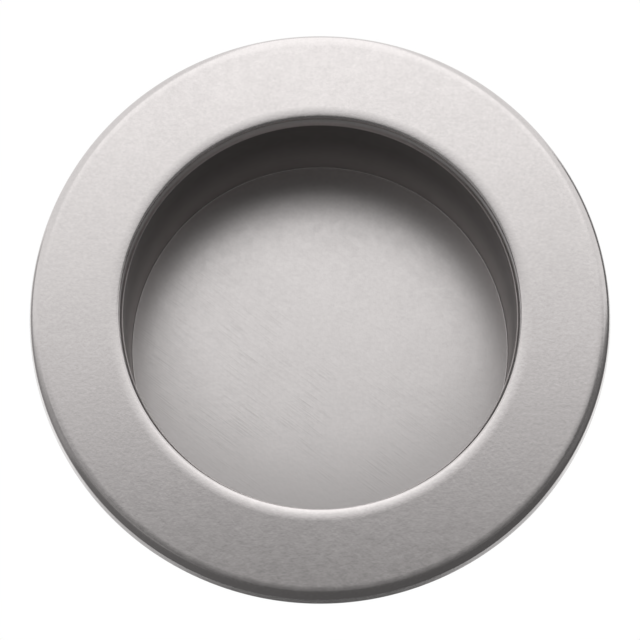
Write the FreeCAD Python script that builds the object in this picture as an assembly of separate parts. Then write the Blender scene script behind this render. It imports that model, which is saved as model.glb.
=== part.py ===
"""Round flush pull for a pocket door: a face ring, and a drawn finger cup held behind its lip.

Millimetres, +Z up. The axis of the pull is Y: the ring faces -Y, and the cup sinks into the door
along +Y. The origin is on that axis, in the plane of the door's face, where the ring's back lies.
"""

import FreeCAD, Part
import math
import os

from FreeCAD import Vector

# Cup, drawn from sheet
SHEET = 0.8
CUP_BORE = 44.1
FINGER_DEPTH = 18.9  # from the ring's face to the floor
MOUTH_BEND = 0.4  # inside radius between the wall and the flange
FLOOR_BEND = 0.15  # inside radius between the wall and the floor, which is struck flat
FLANGE_WIDTH = 1.1  # flat part of the flange, outside the mouth bend

# Face ring
RING_WIDTH = 10.05  # from the opening to the rim
RING_THICKNESS = 2.4
EASE_WIDTH = 0.5  # the face falls away a little over this width, before its lip and its outer edge
EASE_SLOPE = 3.5  # slope in degrees that it reaches there
EDGE_RADIUS = 0.95  # outer front edge
SIDE_DRAFT = 8.0  # the outer side leans in towards the front, in degrees
BACK_CHAMFER = 0.15  # broken outer back edge
LIP_RADIUS = 0.7
LIP_SLOPE = 30.0  # slope in degrees at which the rounded lip breaks off into its land
LIP_LAND = 0.8  # straight inner face of the lip, from its front edge to the groove
COLLAR_WIDTH = 0.9  # how far the rear collar is closed in over the cup's flange
COLLAR_LEAN = 0.3  # the collar is rolled over, so it opens a little towards the back

# How the two fit together
LIP_STEP = 0.4  # the ring's lip stands this far outside the cup's wall, all round
FLANGE_SIDE_GAP = 0.05
FLANGE_FACE_GAP = 0.02


def slope_parts(slope):
    """Sine and cosine of a slope in degrees."""
    return math.sin(math.radians(slope)), math.cos(math.radians(slope))


def edge_size(radius, slope):
    """How far an eased and rounded edge of the face reaches across the ring, and how far it falls."""
    ease_sine, ease_cosine = slope_parts(EASE_SLOPE)
    sine, cosine = slope_parts(slope)
    reach = EASE_WIDTH + radius * (sine - ease_sine)
    fall = EASE_WIDTH * (1 - ease_cosine) / ease_sine + radius * (ease_cosine - cosine)
    return reach, fall


# Edges of the face
SIDE_SLOPE = 90 - SIDE_DRAFT
LIP_REACH, LIP_FALL = edge_size(LIP_RADIUS, LIP_SLOPE)
EDGE_REACH, EDGE_FALL = edge_size(EDGE_RADIUS, SIDE_SLOPE)
SIDE_HEIGHT = RING_THICKNESS - EDGE_FALL - BACK_CHAMFER

# Radii about the axis
BORE_RADIUS = CUP_BORE / 2
BEND_RADIUS = BORE_RADIUS + SHEET + MOUTH_BEND  # where the mouth bend meets the flat of the flange
FLANGE_RADIUS = BEND_RADIUS + FLANGE_WIDTH
GROOVE_RADIUS = FLANGE_RADIUS + FLANGE_SIDE_GAP
COLLAR_RADIUS = GROOVE_RADIUS - COLLAR_WIDTH
LIP_EDGE_RADIUS = BORE_RADIUS + LIP_STEP
RIM_RADIUS = LIP_EDGE_RADIUS + RING_WIDTH
FACE_INNER_RADIUS = LIP_EDGE_RADIUS + LIP_REACH
FACE_OUTER_RADIUS = RIM_RADIUS - SIDE_HEIGHT * math.tan(math.radians(SIDE_DRAFT)) - EDGE_REACH

# Depths along the axis, from front to back
FACE_Y = -RING_THICKNESS
LIP_BACK_Y = FACE_Y + LIP_FALL + LIP_LAND
FLANGE_Y = LIP_BACK_Y + FLANGE_FACE_GAP
FLANGE_BACK_Y = FLANGE_Y + SHEET
COLLAR_Y = FLANGE_BACK_Y + FLANGE_FACE_GAP
WALL_Y = FLANGE_BACK_Y + MOUTH_BEND  # where the mouth bend meets the straight wall
FLOOR_Y = FACE_Y + FINGER_DEPTH

# Directions in the plane of the axis, in degrees
OUTWARD, BACK, INWARD, FRONT = 0, 90, 180, 270


def direction(angle):
    return Vector(math.cos(math.radians(angle)), math.sin(math.radians(angle)), 0)


class Section:
    """A closed outline in the plane of the axis, where x is the radius and y the depth."""

    def __init__(self):
        self.edges = []
        self.start = None
        self.here = None

    def to(self, radius, depth):
        """A straight line to a place, or the outline's first place."""
        there = Vector(radius, depth, 0)
        if self.start is None:
            self.start = there
        elif not there.isEqual(self.here, 1e-7):
            self.edges.append(Part.LineSegment(self.here, there).toShape())
        self.here = there

    def bend(self, centre, size, begins, ends):
        """A round about a centre, between two directions, joined by a line to what comes before."""
        middle = (begins + ends) / 2
        first, half, last = (centre + direction(a) * size for a in (begins, middle, ends))
        self.to(first.x, first.y)
        self.edges.append(Part.Arc(first, half, last).toShape())
        self.here = last

    def turned(self):
        """The solid that the outline sweeps in one turn about the pull's axis."""
        self.to(self.start.x, self.start.y)
        face = Part.Face(Part.Wire(self.edges))
        return face.revolve(Vector(0, 0, 0), Vector(0, 1, 0), 360)


def face_edge(radius, side, size, slope):
    """The two bends of an edge of the face, from the flat outwards: it eases off, then rounds over."""
    ease_size = EASE_WIDTH / math.sin(math.radians(EASE_SLOPE))
    joint = FRONT + side * EASE_SLOPE
    end = FRONT + side * slope
    centre = Vector(radius, FACE_Y + ease_size, 0)
    round_centre = centre + direction(joint) * (ease_size - size)
    return [(centre, ease_size, FRONT, joint), (round_centre, size, joint, end)]


def face_ring():
    """The ring: flat face, rounded rim and lip, and a groove behind that holds the cup's flange."""
    section = Section()
    for bend in face_edge(FACE_OUTER_RADIUS, 1, EDGE_RADIUS, SIDE_SLOPE):
        section.bend(*bend)
    section.to(RIM_RADIUS, -BACK_CHAMFER)
    section.to(RIM_RADIUS - BACK_CHAMFER, 0)
    section.to(COLLAR_RADIUS + COLLAR_LEAN, 0)
    section.to(COLLAR_RADIUS, COLLAR_Y)
    section.to(GROOVE_RADIUS, COLLAR_Y)
    section.to(GROOVE_RADIUS, LIP_BACK_Y)
    section.to(LIP_EDGE_RADIUS, LIP_BACK_Y)
    for centre, size, begins, ends in reversed(face_edge(FACE_INNER_RADIUS, -1, LIP_RADIUS, LIP_SLOPE)):
        section.bend(centre, size, ends, begins)
    return section.turned()


def cup():
    """The cup: one drawn sheet of even thickness, from the flange round the mouth to the floor."""
    floor_corner = Vector(BORE_RADIUS - FLOOR_BEND, FLOOR_Y - FLOOR_BEND, 0)
    mouth_corner = Vector(BEND_RADIUS, WALL_Y, 0)
    section = Section()
    section.to(0, FLOOR_Y)
    section.bend(floor_corner, FLOOR_BEND, BACK, OUTWARD)
    section.bend(mouth_corner, MOUTH_BEND + SHEET, INWARD, FRONT)
    section.to(FLANGE_RADIUS, FLANGE_Y)
    section.to(FLANGE_RADIUS, FLANGE_BACK_Y)
    section.bend(mouth_corner, MOUTH_BEND, FRONT, INWARD)
    section.bend(floor_corner, FLOOR_BEND + SHEET, OUTWARD, BACK)
    section.to(0, FLOOR_Y + SHEET)
    return section.turned()


def main():
    os.makedirs("parts", exist_ok=True)
    for name, solid in (("face_ring", face_ring()), ("cup", cup())):
        solid.exportStep(f"parts/{name}.step")


main()
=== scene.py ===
"""Round flush pull for a pocket door, with its satin nickel finish and plain studio light.

Metres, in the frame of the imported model: the pull's axis is Y, the ring faces -Y and +Z is up.
"""

import math

import bpy
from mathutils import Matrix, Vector


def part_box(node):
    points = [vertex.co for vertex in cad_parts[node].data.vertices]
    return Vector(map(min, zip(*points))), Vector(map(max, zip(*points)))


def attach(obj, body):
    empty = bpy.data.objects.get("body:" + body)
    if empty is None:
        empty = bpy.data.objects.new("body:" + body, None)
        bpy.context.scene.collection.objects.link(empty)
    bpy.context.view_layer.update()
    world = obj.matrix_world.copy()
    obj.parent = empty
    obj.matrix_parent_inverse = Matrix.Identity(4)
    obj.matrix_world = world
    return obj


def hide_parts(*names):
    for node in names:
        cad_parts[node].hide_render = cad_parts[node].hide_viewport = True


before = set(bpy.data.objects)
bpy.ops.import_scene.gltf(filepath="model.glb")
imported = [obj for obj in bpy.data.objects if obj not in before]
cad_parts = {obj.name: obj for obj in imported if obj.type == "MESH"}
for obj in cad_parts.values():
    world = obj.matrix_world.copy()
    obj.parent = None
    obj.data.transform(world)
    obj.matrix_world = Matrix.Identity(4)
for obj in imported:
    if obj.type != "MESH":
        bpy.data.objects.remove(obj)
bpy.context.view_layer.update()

MM = 0.001

# Sizes that the frame's boxes don't give
SHEET = 0.8 * MM
BORE_RADIUS = 22.05 * MM
MOUTH_BEND = 0.4 * MM  # inside radii of the cup's bends
FLOOR_BEND = 0.15 * MM
OPENING_RADIUS = 22.45 * MM
EDGE_EASE = (0.5 * MM, 3.5)  # width of the ease, and the slope it reaches in degrees
EDGE_RADIUS = 0.95 * MM
SIDE_DRAFT = 8.0
BACK_CHAMFER = 0.15 * MM
LIP_EASE = (1.0 * MM, 5.0)
LIP_RADIUS = 0.6 * MM
LIP_SLOPE = 30.0
FLANGE_SIDE_GAP = 0.05 * MM
FLANGE_FACE_GAP = 0.02 * MM
COLLAR_WIDTH = 0.9 * MM
COLLAR_LEAN = 0.3 * MM

# How finely the turned pieces are drawn
TURN_STEPS = 360
BEND_STEP = 5.0  # degrees
FEWEST_BEND_STEPS = 4
EDGE_LOOP = 0.03 * MM  # loops this close to each corner keep the flats flat
LEAST_RUN = 3 * EDGE_LOOP  # a shorter run has no loops
SAME_PLACE = 1e-7
ON_AXIS = 1e-9
SHARP_ANGLE = math.radians(28)

# Directions in the plane of the axis, in degrees
OUTWARD, BACK, INWARD, FRONT = 0, 90, 180, 270

# Satin nickel: the drawn wall of the cup is rougher than what was finished flat, and has a darker
# colour
RING_COLOUR = (0.635, 0.605, 0.599)
FLOOR_COLOUR = (0.765, 0.732, 0.725)
WALL_COLOUR = (0.36, 0.338, 0.333)
RING_ROUGHNESS = (0.2, 0.02)  # and how far it varies either way
FLOOR_ROUGHNESS = (0.3, 0.012)
WALL_ROUGHNESS = (0.6, 0.03)

# How bright parts of a finish are, beside its own colour, with painted light and shade on the cup
RING_SHADES = (0.88, 1.12)  # the darkest and brightest grain
FLOOR_SHADES = (0.87, 1.13)
WALL_PAINTED_LIGHT = (0.62, 1.4)  # painted shade near the mouth, painted bounce light from the floor at its foot
CREASE_PAINTED_SHADE = 1.15  # painted shade in the bend between wall and floor
SCRATCH_SHADE = 0.82
FLOOR_PAINTED_SHADE = 0.75  # painted shade on the floor, far from its lit middle

# Where the cup's finish and its painted light and shade change
POLISH_DEPTH = 0.3 * MM  # over which the mouth's polish fades, just before the straight wall
PAINTED_BOUNCE_FROM = 4 * MM  # depth at which painted bounce light on the wall begins
FLOOR_FACING = (0.9, 0.99)  # how squarely a surface faces along the axis, from wall to floor
CREASE_FACING = (0.05, 0.4)
LIT_MIDDLE = (0, 0, 5 * MM)  # the floor's lit middle, across the axis, from which painted shade grows
SHADE_FROM, SHADE_TO = 13 * MM, 27 * MM  # distances from it where painted shade starts and is full

# Grain: how wide its marks are, and how deep
FINE_WIDTH = 0.4 * MM
SOFT_WIDTH = 1.1 * MM
CLOUD_WIDTH = 5 * MM
CLOUD_SHARE = 0.3  # of the colour's grain; the rest is fine
SOFT_SHARE = 0.06  # of the wall's tone from its grain; the rest is its painted light by depth
RING_FINE_DEPTH = 0.005 * MM
CUP_FINE_DEPTH = 0.006 * MM
SOFT_DEPTH = 0.003 * MM
SOFT_RANGE = (0.3, 0.7)  # of the noise, over which the roughness varies

# Scratches on the floor
SCRATCH_SLANT = math.radians(37)  # below the horizontal, to the right
SCRATCH_LENGTH = 4 * MM
SCRATCH_WIDTH = 0.12 * MM
SCRATCH_DEPTH = 0.003 * MM
SCRATCH_RANGE = (0.45, 0.75)  # of the noise, from none to full
SCRATCH_ROUGHNESS = 0.03  # that a full scratch adds
PATCH_WIDTH = 7 * MM
PATCH_RANGE = (0.3, 0.65)
THICKER_TOWARDS = (-0.5, 0, -0.85)  # low on the left
THICKER_RANGE = (-8 * MM, 12 * MM)
THINNEST = 0.15

# The photograph's view: the camera stands below the axis and looks up into the cup
VIEW_BELOW = math.radians(13.45)
VIEW_DISTANCE = 347 * MM
VIEW_LENS = 175.45  # focal length in millimetres, like the sensor's width
VIEW_DROP = 1.061 * MM  # how far below the middle of the ring's face the camera aims
SENSOR_WIDTH = 36
CLIP_START = 0.01

# Soft box, about the middle of the pull: elevations are angles above the axis
BOX_LOW = math.radians(17.0)
BOX_HIGH = math.radians(97.0)
BOX_DISTANCE = 1.6
BOX_WIDTH = 0.8
BOX_GLOW = 0.5

# Cards and floor of the studio
ROOM = 0.8  # from the pull to the cards round it
CARD_LOW = -0.29
TOP_BACK_LEFT = 0.42
TOP_LEFT = ROOM * math.tan(math.radians(11.3))
TOP_RIGHT = ROOM * math.tan(math.radians(12.5))
TOP_BACK_RIGHT = ROOM
CARD_SPLIT = 0.2
GROUND_REACH = 6.0
GROUND_LEVEL = -0.3
GROUND_COLOUR = (0.85, 0.85, 0.85, 1)
GROUND_ROUGHNESS = 0.9
WHITE = (1, 1, 1, 1)
FILL = 0.7  # strength of the world for diffuse light


class Outline:
    """A section in the plane of the axis, as points (radius, depth)."""

    def __init__(self):
        self.points = []

    def to(self, radius, depth):
        """A straight run, with a loop close to each of its ends, or the first point."""
        if self.points:
            r0, d0 = self.points[-1]
            length = math.hypot(radius - r0, depth - d0)
            if length < SAME_PLACE:
                return
            if length > LEAST_RUN:
                for share in (EDGE_LOOP / length, 1 - EDGE_LOOP / length):
                    self.points.append((r0 + (radius - r0) * share, d0 + (depth - d0) * share))
        self.points.append((radius, depth))

    def bend(self, centre, size, begins, ends):
        """A round about a centre, between two directions, joined by a line to what comes before."""
        steps = max(FEWEST_BEND_STEPS, round(abs(ends - begins) / BEND_STEP))
        for i in range(steps + 1):
            turn = math.radians(begins + (ends - begins) * i / steps)
            point = (centre[0] + size * math.cos(turn), centre[1] + size * math.sin(turn))
            if i == 0:
                self.to(*point)
            else:
                self.points.append(point)


def edge_size(ease, radius, slope):
    """How far an eased and rounded edge of the face reaches across the ring, and how far it falls."""
    width, first, end = ease[0], math.radians(ease[1]), math.radians(slope)
    reach = width + radius * (math.sin(end) - math.sin(first))
    fall = width * math.tan(first / 2) + radius * (math.cos(first) - math.cos(end))
    return reach, fall


def face_edge(radius, face, side, ease, size, slope):
    """The two bends of an edge of the face, from the flat outwards: it eases off, then rounds over."""
    ease_size = ease[0] / math.sin(math.radians(ease[1]))
    joint = FRONT + side * ease[1]
    turn = math.radians(joint)
    offset = ease_size - size
    centre = (radius, face + ease_size)
    round_centre = (centre[0] + offset * math.cos(turn), centre[1] + offset * math.sin(turn))
    return [(centre, ease_size, FRONT, joint), (round_centre, size, joint, FRONT + side * slope)]


def ring_outline():
    """The ring's section: its face, rim and back, and the groove that holds the cup's flange."""
    low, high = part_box("face_ring")
    face, back, rim = low.y, high.y, high.x
    flange, flange_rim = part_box("cup")[0].y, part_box("cup")[1].x
    side_slope = 90 - SIDE_DRAFT
    lip_reach = edge_size(LIP_EASE, LIP_RADIUS, LIP_SLOPE)[0]
    edge_reach, edge_fall = edge_size(EDGE_EASE, EDGE_RADIUS, side_slope)
    side_height = back - BACK_CHAMFER - face - edge_fall
    face_outer = rim - side_height * math.tan(math.radians(SIDE_DRAFT)) - edge_reach
    groove = flange_rim + FLANGE_SIDE_GAP
    collar = groove - COLLAR_WIDTH
    lip_back = flange - FLANGE_FACE_GAP
    collar_front = flange + SHEET + FLANGE_FACE_GAP
    outline = Outline()
    for bend in face_edge(face_outer, face, 1, EDGE_EASE, EDGE_RADIUS, side_slope):
        outline.bend(*bend)
    outline.to(rim, back - BACK_CHAMFER)
    outline.to(rim - BACK_CHAMFER, back)
    outline.to(collar + COLLAR_LEAN, back)
    outline.to(collar, collar_front)
    outline.to(groove, collar_front)
    outline.to(groove, lip_back)
    outline.to(OPENING_RADIUS, lip_back)
    lip = face_edge(OPENING_RADIUS + lip_reach, face, -1, LIP_EASE, LIP_RADIUS, LIP_SLOPE)
    for centre, size, begins, ends in reversed(lip):
        outline.bend(centre, size, ends, begins)
    outline.to(face_outer, face)
    return outline.points[:-1]


def cup_outline():
    """The cup's section: one sheet of even thickness, from the floor out to the flange."""
    low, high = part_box("cup")
    flange, floor_back, flange_rim = low.y, high.y, high.x
    floor = floor_back - SHEET
    floor_corner = (BORE_RADIUS - FLOOR_BEND, floor - FLOOR_BEND)
    mouth_corner = (BORE_RADIUS + SHEET + MOUTH_BEND, flange + SHEET + MOUTH_BEND)
    outline = Outline()
    outline.to(0, floor)
    outline.bend(floor_corner, FLOOR_BEND, BACK, OUTWARD)
    outline.bend(mouth_corner, MOUTH_BEND + SHEET, INWARD, FRONT)
    outline.to(flange_rim, flange)
    outline.to(flange_rim, flange + SHEET)
    outline.bend(mouth_corner, MOUTH_BEND, FRONT, INWARD)
    outline.bend(floor_corner, FLOOR_BEND + SHEET, OUTWARD, BACK)
    outline.to(0, floor_back)
    return outline.points


def placed(name, data):
    """A new object with that data, in the scene."""
    made = bpy.data.objects.new(name, data)
    bpy.context.collection.objects.link(made)
    return made


def turned(name, points):
    """A mesh object made by turning the outline about the Y axis."""
    vertices = []
    rings = []
    for radius, depth in points:
        if radius < ON_AXIS:
            rings.append([len(vertices)] * TURN_STEPS)
            vertices.append((0, depth, 0))
            continue
        rings.append([len(vertices) + i for i in range(TURN_STEPS)])
        for i in range(TURN_STEPS):
            turn = 2 * math.pi * i / TURN_STEPS
            vertices.append((radius * math.cos(turn), depth, radius * math.sin(turn)))
    faces = []
    for j in range(len(rings)):
        this, following = rings[j], rings[(j + 1) % len(rings)]
        for i in range(TURN_STEPS):
            k = (i + 1) % TURN_STEPS
            corners = [this[i], this[k], following[k], following[i]]
            face = [c for n, c in enumerate(corners) if c not in corners[:n]]
            if len(face) > 2:
                faces.append(face)
    mesh = bpy.data.meshes.new(name)
    mesh.from_pydata(vertices, [], faces)
    mesh.polygons.foreach_set("use_smooth", [True] * len(mesh.polygons))
    mesh.set_sharp_from_angle(angle=SHARP_ANGLE)
    mesh.update()
    return placed(name, mesh)


class Shader:
    """A node tree that is built up by name: each call adds a node and links what it is given."""

    NODE_SPACING = 180

    def __init__(self, tree):
        self.tree = tree

    def add(self, kind, inputs=None, **settings):
        """A node with its settings and inputs. An input is a number, a colour or another's output."""
        made = self.tree.nodes.new(kind)
        made.location = (self.NODE_SPACING * len(self.tree.nodes), 0)
        for name, value in settings.items():
            setattr(made, name, value)
        for name, value in (inputs or {}).items():
            if isinstance(value, bpy.types.NodeSocket):
                self.tree.links.new(value, made.inputs[name])
            else:
                made.inputs[name].default_value = value
        return made

    def place(self):
        """The point on the piece, in its own metres."""
        return self.add("ShaderNodeTexCoord").outputs["Object"]

    def noise(self, place, size, detail=2.0, roughness=0.5):
        """Even noise from 0 to 1, whose blotches are about as wide as size."""
        inputs = {"Vector": place, "Scale": 1 / size, "Detail": detail, "Roughness": roughness}
        return self.add("ShaderNodeTexNoise", inputs).outputs["Fac"]

    def remap(self, value, low, high, to_low=0.0, to_high=1.0):
        """A number that eases from one value to another while its source goes from low to high."""
        source = {"Value": value, "From Min": low, "From Max": high}
        inputs = {**source, "To Min": to_low, "To Max": to_high}
        return self.add("ShaderNodeMapRange", inputs, interpolation_type="SMOOTHSTEP").outputs["Result"]

    def math(self, operation, first, second=0.0):
        """The number that an operation makes of one or two others."""
        return self.add("ShaderNodeMath", {0: first, 1: second}, operation=operation).outputs[0]

    def vector(self, operation, first, second):
        """The node of a vector operation: it has a vector in outputs[0] and a number in Value."""
        return self.add("ShaderNodeVectorMath", {0: first, 1: second}, operation=operation)

    def blend(self, share, first, second):
        """A colour between two."""
        inputs = {0: share, 6: first, 7: second}
        return self.add("ShaderNodeMix", inputs, data_type="RGBA").outputs[2]

    def mix(self, share, first, second):
        """A number between two."""
        inputs = {0: share, 2: first, 3: second}
        return self.add("ShaderNodeMix", inputs, data_type="FLOAT").outputs[0]

    def bump(self, height, depth, normal=None):
        """A normal that follows a height from 0 to 1, over another normal if there is one."""
        inputs = {"Height": height, "Distance": depth, "Strength": 1.0}
        if normal is not None:
            inputs["Normal"] = normal
        return self.add("ShaderNodeBump", inputs).outputs["Normal"]


def metal(name):
    """A metallic material, its shader node and a builder for the rest of its nodes."""
    material = bpy.data.materials.new(name)
    material.use_nodes = True
    principled = material.node_tree.nodes["Principled BSDF"]
    principled.inputs["Metallic"].default_value = 1.0
    return material, principled, Shader(material.node_tree)


def finish(shader, principled, colour, roughness, normal):
    """Links what a finish consists of to the material's shader node."""
    for name, output in (("Base Color", colour), ("Roughness", roughness), ("Normal", normal)):
        shader.tree.links.new(output, principled.inputs[name])


def tinted(colour, share):
    """The colour, made darker or brighter."""
    return (*(channel * share for channel in colour), 1)


def satin_grain(shader, place):
    """Height of a satin finish's fine, even grain, that of the soft relief under it, and its mottle."""
    fine = shader.noise(place, FINE_WIDTH, detail=3.0, roughness=0.6)
    soft = shader.noise(place, SOFT_WIDTH)
    cloud = shader.noise(place, CLOUD_WIDTH)
    return fine, soft, shader.mix(CLOUD_SHARE, fine, cloud)


def shaded(shader, share, colour, shades):
    """The colour, from the first of its shades to the second."""
    return shader.blend(share, *(tinted(colour, shade) for shade in shades))


def varied(shader, soft, roughness):
    """A roughness that varies softly about its middle."""
    middle, spread = roughness
    return shader.remap(soft, *SOFT_RANGE, middle - spread, middle + spread)


def ring_satin():
    material, principled, shader = metal("ring_satin")
    fine, soft, mottle = satin_grain(shader, shader.place())
    colour = shaded(shader, mottle, RING_COLOUR, RING_SHADES)
    normal = shader.bump(fine, RING_FINE_DEPTH, shader.bump(soft, SOFT_DEPTH))
    finish(shader, principled, colour, varied(shader, soft, RING_ROUGHNESS), normal)
    return material


def slanted_scratches(shader, place):
    """Short straight scratches on the floor of the cup, all on one slant, thicker low on the left."""
    lie = {"Rotation": (0, SCRATCH_SLANT, 0), "Scale": (SCRATCH_LENGTH, 1, SCRATCH_WIDTH)}
    along = shader.add("ShaderNodeMapping", {"Vector": place, **lie}, vector_type="TEXTURE")
    marks = shader.remap(shader.noise(along.outputs[0], 1.0, detail=1.0), *SCRATCH_RANGE)
    patches = shader.remap(shader.noise(place, PATCH_WIDTH, detail=1.0), *PATCH_RANGE)
    towards = shader.vector("DOT_PRODUCT", place, THICKER_TOWARDS).outputs["Value"]
    thickness = shader.remap(towards, *THICKER_RANGE, THINNEST, 1.0)
    return shader.math("MULTIPLY", shader.math("MULTIPLY", marks, patches), thickness)


def floor_colours(shader, place, mottle, scratches):
    """The floor's colour: its grain, its scratches, and painted shade that grows away from its lit
    middle.
    """
    across = shader.vector("MULTIPLY", place, (1, 0, 1)).outputs[0]
    distance = shader.vector("DISTANCE", across, LIT_MIDDLE).outputs["Value"]
    # painted shade on the floor, growing away from its lit middle
    painted_shade = shader.remap(distance, SHADE_FROM, SHADE_TO)
    colour = shaded(shader, mottle, FLOOR_COLOUR, FLOOR_SHADES)
    colour = shader.blend(scratches, colour, tinted(FLOOR_COLOUR, SCRATCH_SHADE))
    return shader.blend(painted_shade, colour, tinted(FLOOR_COLOUR, FLOOR_PAINTED_SHADE))


def wall_colours(shader, depth, squareness, soft):
    """The wall's colour: painted shade near the mouth, painted bounce light by the floor, painted shade
    in the crease.
    """
    # painted light on the wall: shade near the mouth, bounce light from the floor at its foot
    painted_bounce_share = shader.remap(depth, PAINTED_BOUNCE_FROM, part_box("cup")[1].y - SHEET)
    colour = shaded(shader, shader.mix(SOFT_SHARE, painted_bounce_share, soft), WALL_COLOUR, WALL_PAINTED_LIGHT)
    # painted shade in the crease between wall and floor
    painted_crease_shade = shader.remap(squareness, *CREASE_FACING)
    return shader.blend(painted_crease_shade, colour, tinted(WALL_COLOUR, CREASE_PAINTED_SHADE))


def cup_satin():
    """The cup's material: a polished mouth, a dull wall and a satin floor with scratches, both with
    painted light and shade.
    """
    material, principled, shader = metal("cup_satin")
    coordinates = shader.add("ShaderNodeTexCoord").outputs
    place = coordinates["Object"]
    depth = shader.add("ShaderNodeSeparateXYZ", {0: place}).outputs["Y"]
    facing = shader.add("ShaderNodeSeparateXYZ", {0: coordinates["Normal"]}).outputs["Y"]
    squareness = shader.math("ABSOLUTE", facing)
    wall_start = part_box("cup")[0].y + SHEET + MOUTH_BEND
    mouth = shader.remap(depth, wall_start - POLISH_DEPTH, wall_start, 1.0, 0.0)
    floor = shader.remap(squareness, *FLOOR_FACING)
    smooth = shader.math("MAXIMUM", floor, mouth)
    fine, soft, mottle = satin_grain(shader, place)
    scratches = shader.math("MULTIPLY", slanted_scratches(shader, place), floor)
    wall_colour = wall_colours(shader, depth, squareness, soft)
    colour = shader.blend(smooth, wall_colour, floor_colours(shader, place, mottle, scratches))
    scratched = shader.math("MULTIPLY", scratches, SCRATCH_ROUGHNESS)
    flat = shader.math("ADD", varied(shader, soft, FLOOR_ROUGHNESS), scratched)
    roughness = shader.mix(smooth, varied(shader, soft, WALL_ROUGHNESS), flat)
    grain = shader.bump(fine, CUP_FINE_DEPTH, shader.bump(soft, SOFT_DEPTH))
    finish(shader, principled, colour, roughness, shader.bump(scratches, SCRATCH_DEPTH, grain))
    return material


def dress(piece, material, cad_node):
    """Gives a piece its material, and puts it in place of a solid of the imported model."""
    piece.data.materials.append(material)
    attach(piece, "root")
    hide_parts(cad_node)


def sheet(name, corners):
    """A flat object with four corners and a new material, and that material's nodes."""
    mesh = bpy.data.meshes.new(name)
    mesh.from_pydata(corners, [], [(0, 1, 2, 3)])
    material = bpy.data.materials.new(name)
    material.use_nodes = True
    mesh.materials.append(material)
    return placed(name, mesh), material.node_tree


def card(name, corners, glows):
    """A flat studio card that only reflections see, whose glow blends along its first side."""
    made, tree = sheet(name, corners)
    tree.nodes.clear()
    shader = Shader(tree)
    along = Vector(corners[1]) - Vector(corners[0])
    start = shader.vector("SUBTRACT", shader.place(), corners[0]).outputs[0]
    share = shader.vector("DOT_PRODUCT", start, along / along.length_squared).outputs["Value"]
    ramp = shader.add("ShaderNodeValToRGB", {0: share})
    stops = ramp.color_ramp.elements
    while len(stops) < len(glows):
        stops.new(0.5)
    for i, glow in enumerate(glows):
        stops[i].position = i / (len(glows) - 1)
        stops[i].color = (glow, glow, glow, 1)
    light = shader.add("ShaderNodeEmission", {"Color": ramp.outputs["Color"], "Strength": 1.0})
    shader.add("ShaderNodeOutputMaterial", {"Surface": light.outputs[0]})
    made.visible_camera = False
    made.visible_diffuse = False
    made.visible_shadow = False


def studio_cards():
    """Dim cards in front, below and at both sides. The white world shows above and behind them.

    An upright card has a name, two ends across the room, the heights of its top there, and its
    glows from foot to top.
    """
    front, back = -ROOM, ROOM
    upright = (
        ("card_left", (-ROOM, back), (-ROOM, 0), (TOP_BACK_LEFT, TOP_BACK_LEFT),
         (0.3, 0.33, 0.36, 0.45, 0.6)),
        ("card_left_low", (-ROOM, 0), (-ROOM, front), (TOP_LEFT, TOP_LEFT),
         (0.4, 0.4, 0.4, 0.6, 0.9)),
        ("card_front_left", (-ROOM, front), (-CARD_SPLIT, front), (TOP_LEFT, TOP_LEFT),
         (0.36, 0.34, 0.32, 0.3, 0.35, 0.6, 1.0)),
        ("card_front", (-CARD_SPLIT, front), (CARD_SPLIT, front), (TOP_LEFT, TOP_RIGHT),
         (0.12, 0.12, 0.14, 0.18, 0.18, 0.22, 0.78)),
        ("card_front_right", (CARD_SPLIT, front), (ROOM, front), (TOP_RIGHT, TOP_RIGHT),
         (0.2, 0.2, 0.18, 0.15, 0.12, 0.13, 0.35)),
        ("card_right_low", (ROOM, front), (ROOM, 0), (TOP_RIGHT, TOP_RIGHT),
         (0.2, 0.2, 0.18, 0.2, 0.3)),
        ("card_right", (ROOM, 0), (ROOM, back), (TOP_BACK_RIGHT, TOP_BACK_RIGHT),
         (0.12, 0.14, 0.16, 0.18, 0.25)),
    )
    for name, begins, ends, tops, glows in upright:
        foot, far_foot = (*begins, CARD_LOW), (*ends, CARD_LOW)
        card(name, [foot, (*begins, tops[0]), (*ends, tops[1]), far_foot], glows)
    below = [(-ROOM, front), (ROOM, front), (ROOM, back), (-ROOM, back)]
    card("card_below", [(*corner, CARD_LOW) for corner in below], (0.2, 0.18, 0.12, 0.12, 0.14))


def soft_box():
    """The one lamp: a large soft box, high in front, whose face is as bright as its glow."""
    middle = (BOX_LOW + BOX_HIGH) / 2
    height = 2 * BOX_DISTANCE * math.tan((BOX_HIGH - BOX_LOW) / 2)
    data = bpy.data.lights.new("soft_box", "AREA")
    data.shape = "RECTANGLE"
    data.size = BOX_WIDTH
    data.size_y = height
    data.energy = BOX_GLOW * math.pi * BOX_WIDTH * height
    made = placed("soft_box", data)
    made.location = Vector((0, -math.cos(middle), math.sin(middle))) * BOX_DISTANCE
    made.rotation_euler = (-made.location).to_track_quat("-Z", "Y").to_euler()
    made.visible_camera = False


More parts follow.
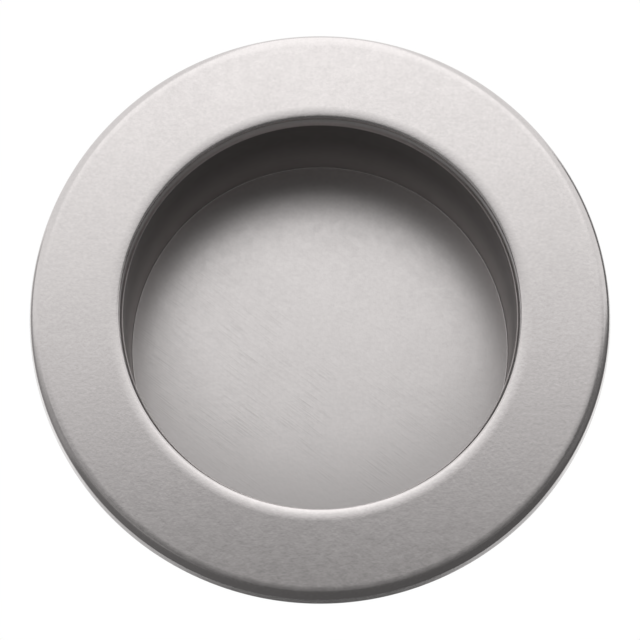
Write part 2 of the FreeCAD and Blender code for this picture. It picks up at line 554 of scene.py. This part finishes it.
def white_world():
    """White where the camera, a reflection or glass sees it, and a softer fill for the rest."""
    world = bpy.data.worlds.new("studio")
    bpy.context.scene.world = world
    world.use_nodes = True
    world.node_tree.nodes.clear()
    shader = Shader(world.node_tree)
    rays = shader.add("ShaderNodeLightPath").outputs
    seen = shader.math("MAXIMUM", rays["Is Camera Ray"], rays["Is Glossy Ray"])
    shown = shader.math("MAXIMUM", seen, rays["Is Transmission Ray"])
    fill = shader.add("ShaderNodeBackground", {"Color": WHITE, "Strength": FILL})
    white = shader.add("ShaderNodeBackground", {"Color": WHITE, "Strength": 1.0})
    mix = shader.add("ShaderNodeMixShader", {0: shown, 1: fill.outputs[0], 2: white.outputs[0]})
    shader.add("ShaderNodeOutputWorld", {"Surface": mix.outputs[0]})


def pale_floor():
    sides = [(-1, -1), (1, -1), (1, 1), (-1, 1)]
    corners = [(x * GROUND_REACH, y * GROUND_REACH, GROUND_LEVEL) for x, y in sides]
    made, tree = sheet("floor", corners)
    principled = tree.nodes["Principled BSDF"]
    principled.inputs["Base Color"].default_value = GROUND_COLOUR
    principled.inputs["Roughness"].default_value = GROUND_ROUGHNESS


def camera():
    face = Vector((0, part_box("face_ring")[0].y, 0))
    toward = Vector((0, -math.cos(VIEW_BELOW), -math.sin(VIEW_BELOW)))
    up = Vector((0, -math.sin(VIEW_BELOW), math.cos(VIEW_BELOW)))
    data = bpy.data.cameras.new("camera")
    data.lens = VIEW_LENS
    data.sensor_width = SENSOR_WIDTH
    data.clip_start = CLIP_START
    made = placed("camera", data)
    made.location = face + toward * VIEW_DISTANCE
    aim = face - up * VIEW_DROP
    made.rotation_euler = (aim - made.location).to_track_quat("-Z", "Y").to_euler()
    bpy.context.scene.camera = made


bpy.context.scene.view_settings.view_transform = "Standard"
bpy.context.scene.render.dither_intensity = 0.0  # white stays even
dress(turned("ring_body", ring_outline()), ring_satin(), "face_ring")
dress(turned("cup_shell", cup_outline()), cup_satin(), "cup")
white_world()
pale_floor()
soft_box()
studio_cards()
camera()
